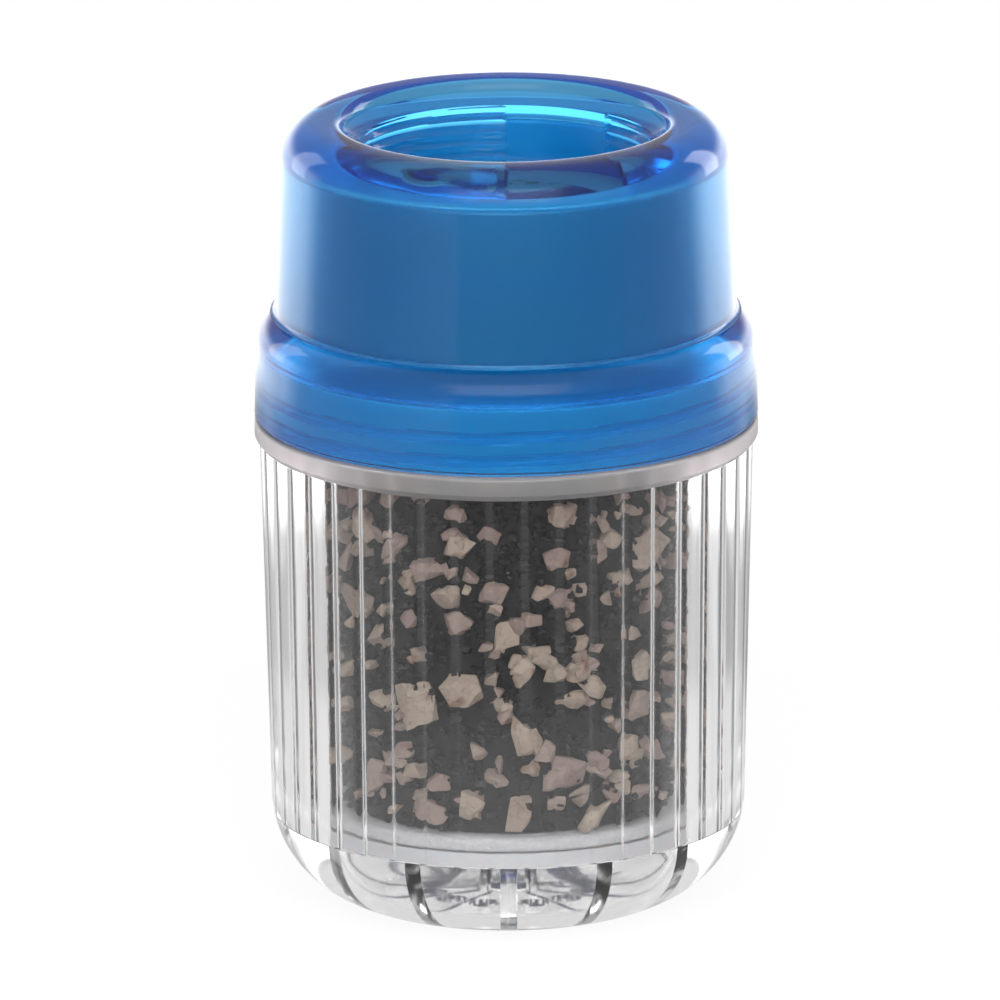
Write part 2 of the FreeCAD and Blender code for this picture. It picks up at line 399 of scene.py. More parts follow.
@dataclass(frozen=True)
class ClearStyrene(Finish):
    """Injection-moulded styrene plastic: hard and glossy, glass-clear or grained by the mould.

    The share called clear of the light goes through, and a grained face scatters the rest in its colour.
    """

    name: str = "clear_styrene_moulded"
    roughness: float = 0.05
    ior: float = 1.57
    colour: str = "FFFFFF"
    clear: float = 1.0
    tint: str = "F8F2F4"
    tint_density: float = 12.0
    ripple_mm: float = 7.0
    ripple_strength: float = 0.02
    ripple_depth: float = 1.0

    def feeds(self, tree: NodeTree) -> dict:
        """Give a slow ripple in the surface and a tint in the depth, which goes to the material's output.

        Args:
            tree: The node tree.

        Returns:
            The shader's values and sockets.
        """
        ripple = fixed_noise(tree, self.ripple_mm, 1.0)
        depth = add_node(tree, "VolumeAbsorption", {"Color": linear(self.tint), "Density": self.tint_density})
        tree.links.new(depth.outputs["Volume"], tree.get_output_node("ALL").inputs["Volume"])
        return {"Base Color": linear(self.colour), "IOR": self.ior, "Transmission Weight": self.clear,
                "Normal": bumps(tree, ripple, self.ripple_strength, self.ripple_depth)}


@dataclass(frozen=True)
class Charcoal(Finish):
    """Granular activated carbon: crushed and steamed shell charcoal, matt black with greyish broken faces."""

    name: str = "activated_charcoal_crushed"
    roughness: float = 0.55
    dark: str = "0F0F12"
    light: str = "26252A"
    pit_mm: float = 0.5
    pit_strength: float = 0.5
    pit_depth: float = 0.1

    def feeds(self, tree: NodeTree) -> dict:
        """Give a dark tone for each grain, with fine pits.

        Args:
            tree: The node tree.

        Returns:
            The shader's sockets.
        """
        tone = add_node(tree, "Attribute", attribute_name="tone")
        pits = fixed_noise(tree, self.pit_mm, 3.0)
        share = add_node(tree, "Math", {0: tone.outputs["Fac"], 1: pits}, operation="MULTIPLY")
        colour = mixed_colour(tree, share.outputs["Value"], linear(self.dark), linear(self.light))
        return {"Base Color": colour, "Normal": bumps(tree, pits, self.pit_strength, self.pit_depth)}


@dataclass(frozen=True)
class MineralStone(Finish):
    """Crushed mineral stone: matt broken feldspar, tan to pinkish grey with darker and rusty veins.

    Veins and specks start and end at the first two of their shares of the noise, and show by the third.
    """

    name: str = "mineral_stone_crushed"
    roughness: float = 0.75
    pale: str = "B2A393"
    pink: str = "9A867F"
    rust: str = "7A4E34"
    rust_shares: Triple = (0.6, 0.72, 0.75)
    speck: str = "6A625E"
    speck_shares: Triple = (0.5, 0.75, 0.4)
    patch_mm: float = 1.6
    speck_mm: float = 0.35
    bump_strength: float = 0.7
    bump_depth: float = 0.15

    def feeds(self, tree: NodeTree) -> dict:
        """Give a tone for each stone, soft patches, fine specks and rusty veins.

        Args:
            tree: The node tree.

        Returns:
            The shader's sockets.
        """
        tone = add_node(tree, "Attribute", attribute_name="tone")
        patches = fixed_noise(tree, self.patch_mm, 4.0)
        specks = fixed_noise(tree, self.speck_mm, 3.0)
        colour = mixed_colour(tree, tone.outputs["Fac"], linear(self.pale), linear(self.pink))
        for value, (low, high, most), tint in ((patches, self.rust_shares, self.rust),
                                               (specks, self.speck_shares, self.speck)):
            share = add_node(tree, "MapRange", {
                "Value": value, "From Min": low, "From Max": high, "To Max": most})
            colour = mixed_colour(tree, share.outputs["Result"], colour, linear(tint))
        return {"Base Color": colour, "Normal": bumps(tree, specks, self.bump_strength, self.bump_depth)}


@dataclass(frozen=True)
class SoftSolid(Finish):
    """A pale material with a fine even grain: needled fibre felt, moulded polypropylene or silicone."""

    light: str
    dark: str
    grain_mm: float
    bump_strength: float
    bump_depth: float = 0.1
    sheen: float = 0.0
    subsurface: float = 0.0

    def feeds(self, tree: NodeTree) -> dict:
        """Give two close tones in a fine grain that also roughens the surface."""
        grain = fixed_noise(tree, self.grain_mm, 4.0)
        return {"Base Color": mixed_colour(tree, grain, linear(self.dark), linear(self.light)),
                "Sheen Weight": self.sheen, "Subsurface Weight": self.subsurface, "Subsurface Scale": MM,
                "Normal": bumps(tree, grain, self.bump_strength, self.bump_depth)}


BLUE_TINT = "00DCFC"
BLUE_DENSITY = 400.0

# Clear moulded styrene: the moulded wall is slightly wavy, and thick stretches look faintly grey
CLEAR_CUP = ClearStyrene()
# The same plastic where the mould was grained, round the flange and on the neck: a soft frosted band
FROSTED_FLANGE = ClearStyrene(name="clear_styrene_frosted", roughness=0.45, clear=0.87)
# Dyed styrene: pale cyan where it is thin, deep blue where it is thick
BLUE_CAP = ClearStyrene(name="blue_styrene_moulded", roughness=0.09, tint=BLUE_TINT,
                        tint_density=BLUE_DENSITY)
# The outside of the socket's tube and the skirt's bore keep the mould's coarse sparked grain, a cloudy blue
CLOUDY_CAP = ClearStyrene(name="blue_styrene_sparked", roughness=0.4, colour="28D0FF", clear=0.35,
                          tint=BLUE_TINT, tint_density=BLUE_DENSITY)
# The gap's other walls have a finer grain, which softens what lies behind them
HAZY_CAP = ClearStyrene(name="blue_styrene_fine_grain", roughness=0.3, colour="28D4FF", clear=0.6,
                        tint=BLUE_TINT, tint_density=BLUE_DENSITY)
# Needled filter felt: soft off-white fibres with a fuzzy edge
FELT = SoftSolid("polypropylene_felt", 0.95, "DEDEE0", "B8B9BD", 0.3, 0.8, sheen=0.3)
# Moulded polypropylene: waxy off-white
SIEVE_PLASTIC = SoftSolid("polypropylene_moulded", 0.35, "DEDFE2", "CECFD4", 2.0, 0.1, subsurface=0.2)
# Moulded silicone: milky and slightly soft in its shine
SILICONE = SoftSolid("silicone_moulded", 0.45, "E4E6E8", "D6D9DC", 3.0, 0.1, subsurface=0.3)
# The tap's washer gets a darker copy of the same silicone: painted shade where it lies inside the socket
SHADED_WASHER_SILICONE = SoftSolid("silicone_moulded_painted_shade", 0.45, "A9B1B8", "98A1A9", 3.0, 0.1, subsurface=0.3)


@dataclass(frozen=True)
class CoarseThread:
    """The closing thread between the cup's neck and the cap's skirt, in millimetres."""

    start: float
    pitch: float = 1.8
    turns: float = 1.5
    base: float = 0.9
    crest: float = 0.4
    height: float = 0.55
    fade: float = 0.02

    def lift(self, angle: float, height: float) -> float:
        """Tell how far the ridge stands out at a place.

        Args:
            angle: Radians from the start of the thread.
            height: Millimetres above the foot.

        Returns:
            Millimetres out of the wall.
        """
        tallest = 0.0
        for turn in (0, 1):
            along = (angle % FULL_TURN) / FULL_TURN + turn
            if along > self.turns:
                continue
            away = abs(height - self.start - self.pitch * along)
            flank = (self.base / 2 - away) / ((self.base - self.crest) / 2)
            ends = min(along, self.turns - along) / self.fade
            tallest = max(tallest, self.height * min(max(flank, 0), 1) * min(max(ends, 0), 1))
        return tallest


@dataclass
class Cup:
    """The clear moulded cup and its outlet, in millimetres."""

    columns: int = 540
    cavity_gap: float = 0.1
    wall_low: float = 4.07
    foot_round: float = 8.57
    floor: float = 2.5
    ledge: float = 1.2
    chamber_round: float = 4.0
    flange_top_gap: float = 0.15
    flange_height: float = 1.85
    flange_slope: float = 0.45
    flange_lip: float = 0.42
    flange_edge: float = 0.25
    flange_band: float = 0.5
    neck_wall: float = 2.2
    rib_count: int = 36
    rib_radius: float = 0.8
    rib_proud: float = 0.1
    rib_top_gap: float = 1.2
    rib_end: float = 0.1
    gather: float = 0.6
    outlet_ribs: int = 12
    outlet_rib: float = 1.2
    outlet_rib_start: float = 3.6
    outlet_rib_gap: float = 0.03
    outlet_rib_edge: float = 0.15
    outlet_hole: float = 1.2
    hole_columns: int = 28
    outlet_ring: float = 7.0
    centre_hole: float = 1.9
    edge: float = 0.12
    soft_edge: float = 0.2
    row: float = 0.12
    play: float = 0.05

    def __post_init__(self) -> None:
        """Work out the sizes that follow from the frame."""
        self.cavity = radius_of("top_sieve") + self.cavity_gap
        self.sieve_z = low_of("bottom_sieve")
        self.neck_top = top_of("top_sieve")
        self.flange_top = low_of("cap") - self.flange_top_gap
        self.flange = radius_of("cup")
        self.chamber = self.cavity - self.ledge
        self.neck = self.cavity + self.neck_wall
        self.foot_wall = self.cavity + self.wall_low
        self.rib_top = top_of("charcoal_bed") - self.rib_top_gap
        self.thread = CoarseThread(start=low_of("cap") + THREAD_RISE)

    def section(self) -> list[Corner]:
        """List the corners of the half section, from the centre hole round the foot.

        Returns:
            The corners in order.
        """
        flange_foot = self.flange_top - self.flange_height
        return [
            Corner(self.centre_hole, 0, self.edge),
            Corner(self.foot_wall, 0, self.foot_round, 26),
            Corner(self.flange - self.flange_lip, flange_foot, self.flange_edge),
            Corner(self.flange, flange_foot + self.flange_slope, self.soft_edge),
            Corner(self.flange, self.flange_top, self.flange_edge),
            Corner(self.neck, self.flange_top, self.edge),
            Corner(self.neck, self.neck_top, self.flange_edge),
            Corner(self.cavity, self.neck_top, self.soft_edge),
            Corner(self.cavity, self.rib_top + self.rib_end),
            Corner(self.cavity, self.rib_top - self.rib_end),
            Corner(self.cavity, self.sieve_z, self.edge),
            Corner(self.chamber, self.sieve_z, self.edge),
            Corner(self.chamber, self.floor, self.chamber_round, 12),
            Corner(self.centre_hole, self.floor, self.edge),
        ]

    def wall_ribs(self, bm: BMesh) -> None:
        """Raise the low upright ribs inside the cavity, and gather the columns at them.

        Args:
            bm: The turned cup.
        """
        sector = FULL_TURN / self.rib_count
        for vert in bm.verts:
            angle = azimuth(vert.co) / sector
            offset = angle % 1 - 0.5
            gathered = offset - self.gather * math.sin(FULL_TURN * offset) / FULL_TURN
            vert.co = Matrix.Rotation((gathered - offset) * sector, 3, "Z") @ vert.co
            reach = math.hypot(vert.co.x, vert.co.y)
            across = abs(gathered * sector * reach)
            on_wall = abs(reach - self.cavity) < ON_WALL and self.sieve_z < vert.co.z < self.rib_top
            if on_wall and across < self.rib_radius:
                sunk = self.rib_radius - self.rib_proud
                move_out(vert, -max(math.sqrt(self.rib_radius ** 2 - across ** 2) - sunk, 0))

    def neck_thread(self, bm: BMesh) -> None:
        """Raise the coarse thread on the neck.

        Args:
            bm: The turned cup.
        """
        for vert in bm.verts:
            if abs(math.hypot(vert.co.x, vert.co.y) - self.neck) < ON_WALL:
                move_out(vert, self.thread.lift(azimuth(vert.co), vert.co.z))

    def radial_ribs(self) -> BMesh:
        """Make the ribs that carry the bottom sieve.

        Returns:
            The ribs.
        """
        bm = bmesh.new()
        length = self.chamber + self.ledge / 2 - self.outlet_rib_start
        foot = self.floor / 2
        height = self.sieve_z - self.outlet_rib_gap - foot
        for place in range(self.outlet_ribs):
            block = Matrix.Rotation(FULL_TURN * place / self.outlet_ribs, 4, "Z")
            block @= Matrix.Translation((self.outlet_rib_start + length / 2, 0, foot + height / 2))
            block @= Matrix.Diagonal((length, self.outlet_rib, height, 1))
            bmesh.ops.create_cube(bm, size=1, matrix=block)
        bmesh.ops.bevel(bm, geom=list(bm.edges), offset=self.outlet_rib_edge, offset_type="OFFSET",
                        segments=2, profile=0.5, affect="EDGES", material=-1)
        return bm

    def outlet_holes(self) -> BMesh:
        """Make the pins that cut the ring of outlet holes.

        Returns:
            The pins.
        """
        bm = bmesh.new()
        for place in range(self.outlet_ribs):
            spot = Matrix.Rotation(FULL_TURN * (place + 0.5) / self.outlet_ribs, 4, "Z")
            spot @= Matrix.Translation((self.outlet_ring, 0, self.floor / 2))
            bmesh.ops.create_cone(bm, cap_ends=True, segments=self.hole_columns, radius1=self.outlet_hole,
                                  radius2=self.outlet_hole, depth=2 * self.floor, matrix=spot)
        return bm

    def grain_at(self, reach: float, height: float) -> Grain:
        """Tell what grain the mould gave a place: a coarse one round the flange and on the neck, or none.

        Args:
            reach: Millimetres from the axis.
            height: Millimetres above the foot.

        Returns:
            The grain.
        """
        on_flange = height > self.flange_top - self.flange_height and reach > self.flange - self.flange_band
        on_neck = height > self.flange_top and reach > self.neck - self.play
        return Grain.COARSE if on_flange or on_neck else Grain.NONE

    def build(self) -> None:
        """Make the cup and put it in place of the CAD node."""
        rows = FineRows(self.neck, self.flange_top, self.neck_top, self.row)
        bm = turned(self.section(), self.columns, [rows])
        self.wall_ribs(bm)
        self.neck_thread(bm)
        bm = combined(bm, self.radial_ribs(), Joining.ADD)
        bm = combined(bm, self.outlet_holes(), Joining.CUT)
        give_grain(bm, self.grain_at)
        finished(bm, "clear_cup", "filter_cup",
                 [CLEAR_CUP.build(), FROSTED_FLANGE.build()], ["cup"])


@dataclass
class Cap:
    """The blue screw cap with the tap's threaded socket, in millimetres."""

    columns: int = 432
    bore: float = 11.6
    lead: float = 1.15
    lead_height: float = 0.85
    socket_depth: float = 6.7
    pocket: float = 11.9
    washer_height: float = 1.8
    seat_height: float = 1.8
    seat_hole: float = 8.0
    inlet: float = 11.9
    tube: float = 13.45
    rim_round: float = 3.0
    rim_height: float = 3.1
    lip_round: float = 1.0
    skirt: float = 2.0
    skirt_draft: float = 0.26
    skirt_round: float = 2.33
    shoulder_step: float = 1.42
    shoulder_height: float = 3.27
    cone_draft: float = 0.6
    cone_wall: float = 1.9
    tap_pitch: float = 1.0
    tap_depth: float = 0.5
    tap_ends: Pair = (0.1, 0.05)
    smooth_sector: float = math.radians(44)
    edge: float = 0.15
    soft_edge: float = 0.3
    cone_edge: float = 0.4
    gap_round: float = 0.6
    tap_row: float = 0.1
    row: float = 0.12
    play: float = 0.1

    def __post_init__(self) -> None:
        """Work out the sizes that follow from the frame."""
        self.low = low_of("cap")
        self.top = top_of("cap")
        self.seat = top_of("seal_ring")
        self.outer = radius_of("cap")
        self.skirt_bore = self.outer - self.skirt
        self.skirt_top = self.outer - self.skirt_draft
        self.shoulder = self.seat + self.shoulder_height
        self.cone_foot = self.skirt_top - self.shoulder_step
        self.cone_top = self.cone_foot - self.cone_draft
        self.gap_top = self.top - self.rim_height
        self.thread = CoarseThread(start=self.low + THREAD_RISE)
        self.thread_foot = self.top - self.socket_depth
        self.thread_top = self.top - self.lip_round - self.lead_height

    def section(self) -> list[Corner]:
        """List the corners of the half section, from the skirt's foot round the outside.

        Returns:
            The corners in order.
        """
        washer_floor = self.thread_foot - self.washer_height
        inner_foot = self.cone_foot - self.cone_wall
        inner_top = self.cone_top - self.cone_wall
        return [
            Corner(self.skirt_bore, self.low, self.edge),
            Corner(self.outer, self.low, self.soft_edge),
            Corner(self.skirt_top, self.shoulder, self.skirt_round, 14),
            Corner(self.cone_foot, self.shoulder, self.cone_edge, 6),
            Corner(self.cone_top, self.top, self.rim_round, 18),
            Corner(self.bore + self.lead, self.top, self.lip_round, 8),
            Corner(self.bore + self.lead, self.top - self.lip_round),
            Corner(self.bore, self.thread_top),
            Corner(self.bore, self.thread_foot),
            Corner(self.pocket, self.thread_foot),
            Corner(self.pocket, washer_floor),
            Corner(self.seat_hole, washer_floor, self.edge),
            Corner(self.seat_hole, washer_floor - self.seat_height, self.edge),
            Corner(self.inlet, washer_floor - self.seat_height, self.soft_edge),
            Corner(self.inlet, self.seat, self.edge),
            Corner(self.tube, self.seat, self.edge),
            Corner(self.tube, self.gap_top, self.gap_round, 6),
            Corner(inner_top, self.gap_top, self.gap_round, 6),
            Corner(inner_foot, self.shoulder),
            Corner(inner_foot, self.seat, self.edge),
            Corner(self.skirt_bore, self.seat, self.edge),
        ]

    def tap_groove(self, angle: float, height: float) -> float:
        """Tell how deep the tap's thread is cut at a place.

        Args:
            angle: Radians from the front, to the right.
            height: Millimetres above the foot.

        Returns:
            Millimetres into the wall of the bore.
        """
        smooth = 0 < angle < self.smooth_sector or math.pi - self.smooth_sector < angle < math.pi
        if smooth or not self.thread_foot + self.tap_ends[0] < height < self.thread_top - self.tap_ends[1]:
            return 0.0
        phase = (height / self.tap_pitch - angle / FULL_TURN) % 1
        return self.tap_depth * (1 - abs(2 * phase - 1))

    def grain_at(self, reach: float, height: float) -> Grain:
        """Tell what grain the mould gave a place.

        Args:
            reach: Millimetres from the axis.
            height: Millimetres above the foot.

        Returns:
            Coarse on the tube and in the skirt, fine on the gap's other walls, or none.
        """
        in_gap = self.seat < height < self.gap_top + self.play
        over_neck = self.low + self.play < height < self.seat
        on_tube = in_gap and abs(reach - self.tube) < self.play
        in_skirt = over_neck and self.inlet < reach < self.skirt_bore + self.play / 2
        if on_tube or in_skirt:
            return Grain.COARSE
        if in_gap and self.tube < reach < self.cone_foot - self.cone_wall + self.play:
            return Grain.FINE
        return Grain.NONE

    def build(self) -> None:
        """Make the cap and put it in place of the CAD node."""
        fine = [
            FineRows(self.bore, self.thread_foot, self.thread_top, self.tap_row),
            FineRows(self.skirt_bore, self.low, self.seat, self.row),
        ]
        bm = turned(self.section(), self.columns, fine)
        for vert in bm.verts:
            reach = math.hypot(vert.co.x, vert.co.y)
            if abs(reach - self.bore) < ON_WALL:
                front = azimuth(vert.co) + math.pi / 2
                move_out(vert, self.tap_groove(front % FULL_TURN, vert.co.z))
            elif abs(reach - self.skirt_bore) < ON_WALL and vert.co.z > self.low + self.edge:
                move_out(vert, -self.thread.lift(azimuth(vert.co) - math.pi, vert.co.z))
        give_grain(bm, self.grain_at)
        finished(bm, "screw_cap_blue", "screw_cap",
                 [BLUE_CAP.build(), CLOUDY_CAP.build(), HAZY_CAP.build()], ["cap"])


@dataclass
class FilterBed:
    """The charcoal with its mineral stones, in millimetres."""

    grains: int = 6800
    grain_sizes: Pair = (0.28, 0.62)
    grain_corners: Pair = (0.7, 1.15)
    grain_stretch: Pair = (0.65, 1.1)
    grain_kinds: int = 12
    grain_depth: float = 2.0
    core_gap: float = 1.0
    core_end_gap: float = 0.15
    core_columns: int = 96
    core_tone: float = 0.5
    facet_weld: float = 0.005
    stone_corners: int = 15
    stone_reach: Pair = (0.72, 1.0)
    stone_tilt: float = 0.6
    stone_edge: float = 0.05
    stone_facets: Pair = (0.9, 0.6)
    stone_lumps: Pairs = ((1.7, 0.09), (4.3, 0.04))
    stone_rise: float = 0.3
    stone_sharp: float = math.radians(18)
    small_chips: int = 430
    chip_sizes: Pair = (0.7, 2.1)
    chip_stretch: Pair = (0.6, 1.3)
    chip_rise: float = 0.25
    seed: int = 11

    def __post_init__(self) -> None:
        """Work out the sizes that follow from the frame."""
        self.low = low_of("charcoal_bed")
        self.top = top_of("charcoal_bed")
        self.face = radius_of("charcoal_bed")
        self.draw = random.Random(self.seed)

    def shard(self) -> Mesh:
        """Make one broken grain of unit size from a rough ball of twenty faces.

        Returns:
            Its mesh.
        """
        bm = bmesh.new()
        bmesh.ops.create_icosphere(bm, subdivisions=1, radius=1)
        for vert in bm.verts:
            vert.co *= self.draw.uniform(*self.grain_corners)
        return as_mesh(bm, "shard")

    def scatter(self, bm: BMesh) -> None:
        """Fill the shell between the core and the wall of the cup with grains.

        Args:
            bm: The mesh that takes them.
        """
        shards = [self.shard() for _ in range(self.grain_kinds)]
        for _ in range(self.grains):
            size = self.draw.uniform(*self.grain_sizes)
            room = size * self.grain_corners[1]
            reach = self.face - room - self.grain_depth * self.draw.random() ** 2
            height = self.draw.uniform(self.low + room, self.top - room)
            angle = self.draw.uniform(0, FULL_TURN)
            spot = Vector((reach * math.cos(angle), reach * math.sin(angle), height))
            stretch = [size * self.draw.uniform(*self.grain_stretch) for _ in range(3)]
            turn = Matrix.Rotation(self.draw.uniform(0, FULL_TURN), 4, "X")
            turn @= Matrix.Rotation(self.draw.uniform(0, FULL_TURN), 4, "Z")
            grain = self.draw.choice(shards).copy()
            grain.transform(Matrix.Translation(spot) @ turn @ Matrix.Diagonal((*stretch, 1)))
            bm.from_mesh(grain)
            bpy.data.meshes.remove(grain)

    def build_charcoal(self) -> None:
        """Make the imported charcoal: a dark core and loose grains around it."""
        bm = bmesh.new()
        middle = Matrix.Translation((0, 0, (self.low + self.top) / 2))
        reach = self.face - self.core_gap
        depth = self.top - self.low - 2 * self.core_end_gap
        bmesh.ops.create_cone(bm, cap_ends=True, segments=self.core_columns, radius1=reach, radius2=reach,
                              depth=depth, matrix=middle)
        self.scatter(bm)
        piece = finished(bm, "charcoal_grains", "filter_cup", [Charcoal().build()],
                         ["charcoal_bed"], sharp=0)
        self.give_tones(piece, [ICOSAHEDRON_CORNERS] * self.grains)

    def give_tones(self, piece: Object, counts: list[int]) -> None:
        """Give each grain or stone its own tone.

        Args:
            piece: The piece, whose grains follow each other in the mesh.
            counts: How many vertices each grain has, in order.
        """
        values = [self.core_tone] * (len(piece.data.vertices) - sum(counts))
        for count in counts:
            values += [self.draw.random()] * count
        tone = piece.data.attributes.new("tone", "FLOAT", "POINT")
        tone.data.foreach_set("value", values)

    def stone_places(self) -> list[tuple[Vector, Vector]]:
        """Read where the CAD stones lie.

        Returns:
            The middle of each stone, and its depth, width and height at its place on the wall.
        """
        bm = bmesh.new()
        bm.from_mesh(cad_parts["mineral_stones"].data)
        bmesh.ops.scale(bm, vec=(1 / MM, 1 / MM, 1 / MM), verts=bm.verts)
        bmesh.ops.remove_doubles(bm, verts=bm.verts, dist=self.facet_weld)
        places = []
        left = set(bm.verts)
        while left:
            island = {min(left, key=lambda vert: vert.index)}
            waiting = list(island)
            while waiting:
                for edge in waiting.pop().link_edges:
                    fresh = set(edge.verts) - island
                    island |= fresh
                    waiting += fresh
            left -= island
            middle = sum((vert.co for vert in island), Vector()) / len(island)
            back = Matrix.Rotation(-azimuth(middle), 3, "Z")
            turned_back = [back @ vert.co for vert in island]
            extent = [max(values) - min(values) for values in zip(*turned_back)]
            places.append((middle, Vector(extent)))
        bm.free()
        return places

    def stone(self, bm: BMesh, middle: Vector, extent: Vector) -> int:
        """Add one broken stone: the hull of a few corners inside its CAD stone's space.

        Args:
            bm: The mesh that takes it.
            middle: Its middle.
            extent: Its depth, width and height at its place on the wall.

        Returns:
            How many vertices it has.
        """
        rock = bmesh.new()
        tilt = Matrix.Rotation(self.draw.uniform(-self.stone_tilt, self.stone_tilt), 3, "X")
        for _ in range(self.stone_corners):
            way = Vector(self.draw.gauss(0, 1) for _ in range(3)).normalized()
            largest = max(abs(part) for part in way)
            corner = way / largest * self.draw.uniform(*self.stone_reach)
            spread = Vector((extent.x * corner.x, extent.y * corner.y, extent.z * corner.z)) / 2
            rock.verts.new(tilt @ spread)
        hull = bmesh.ops.convex_hull(rock, input=rock.verts)
        spare = {item for item in hull["geom_interior"] + hull["geom_unused"]
                 if isinstance(item, BMVert)}
        bmesh.ops.delete(rock, geom=list(spare), context="VERTS")
        bmesh.ops.bevel(rock, geom=list(rock.edges), offset=self.stone_edge, offset_type="OFFSET",
                        segments=1, profile=0.5, affect="EDGES", material=-1, clamp_overlap=True)
        bmesh.ops.triangulate(rock, faces=rock.faces)
        for length in self.stone_facets:
            long_edges = [edge for edge in rock.edges if edge.calc_length() > length]
            bmesh.ops.subdivide_edges(rock, edges=long_edges, cuts=1)
            bmesh.ops.triangulate(rock, faces=rock.faces)
        bmesh.ops.recalc_face_normals(rock, faces=rock.faces)
        place = Matrix.Translation(middle) @ Matrix.Rotation(azimuth(middle), 4, "Z")
        for vert in rock.verts:
            vert.co = place @ vert.co
            vert.co += vert.normal * rough(vert.co, self.stone_lumps)
            reach = math.hypot(vert.co.x, vert.co.y)
            if reach > self.face + self.stone_rise:
                move_out(vert, self.face + self.stone_rise - reach)
        mesh = as_mesh(rock, "rock")
        count = len(mesh.vertices)
        bm.from_mesh(mesh)
        bpy.data.meshes.remove(mesh)
        return count

    def build_stones(self) -> None:
        """Make the broken stones where the CAD stones lie, and small chips between them."""
        bm = bmesh.new()
        counts = [self.stone(bm, middle, extent) for middle, extent in self.stone_places()]
        for _ in range(self.small_chips):
            angle = self.draw.uniform(0, FULL_TURN)
            size = self.draw.uniform(*self.chip_sizes)
            reach = self.face + self.chip_rise - size / 2
            height = self.draw.uniform(self.low + size, self.top - size)
            extent = Vector(size * self.draw.uniform(*self.chip_stretch) for _ in range(3))
            middle = Vector((reach * math.cos(angle), reach * math.sin(angle), height))
            counts.append(self.stone(bm, middle, extent))
        piece = finished(bm, "mineral_stone_chips", "filter_cup", [MineralStone().build()],
                         ["mineral_stones"], sharp=self.stone_sharp)
        self.give_tones(piece, counts)

    def build(self) -> None:
        """Make the bed."""
        self.build_stones()
        self.build_charcoal()


@dataclass
class Layers:
    """The felt pads, the sieves, the seal and the tap's washer."""

    felt_columns: int = 180
    felt_row: float = 0.15
    felt_centre: float = 0.2
    felt_gaps: Pair = (0.05, 0.02)
    felt_rounds: Pair = (0.35, 0.5)
    fuzz: float = 0.16
    fuzz_band: float = 1.2
    fuzz_lumps: Pairs = ((2.2, 0.6), (6.0, 0.4))

    def felt(self, node: str, name: str) -> None:
        """Make a felt disc with soft edges in place of a CAD pad.

        Args:
            node: The CAD node.
            name: The piece's name.
        """
        low, top, reach = low_of(node), top_of(node), radius_of(node)
        foot, head = low + self.felt_gaps[0], top - self.felt_gaps[1]
        bm = turned([
            Corner(self.felt_centre, foot),
            Corner(reach, foot, self.felt_rounds[0], 5),
            Corner(reach, head, self.felt_rounds[1], 6),
            Corner(self.felt_centre, head),
        ], self.felt_columns, [FineRows(reach, low, top, self.felt_row)])
        for vert in bm.verts:
            if math.hypot(vert.co.x, vert.co.y) > reach - self.fuzz_band:
                move_out(vert, -self.fuzz * (0.5 + rough(vert.co, self.fuzz_lumps)))
        piece = finished(bm, name, "filter_cup", [FELT.build()], [node])

    def build(self) -> None:
        """Make the pads and dress the CAD nodes that stay."""
        self.felt("bottom_pad", "felt_pad_bottom")
        self.felt("top_pad", "felt_pad_top")
        # The washer's darker copy of the silicone is painted shade
        for node, finish in {"bottom_sieve": SIEVE_PLASTIC, "top_sieve": SIEVE_PLASTIC,
                             "seal_ring": SILICONE, "tap_washer": SHADED_WASHER_SILICONE}.items():
            material = finish.build()
            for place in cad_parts[node].material_slots:
                place.material = material


@dataclass(frozen=True)
class SoftBox:
    """A soft box that faces the middle of the filter, in millimetres; a radiance of 1 shows as white."""

    name: str
    place: Triple
    size: Pair
    radiance: float
    reflected: bool = True


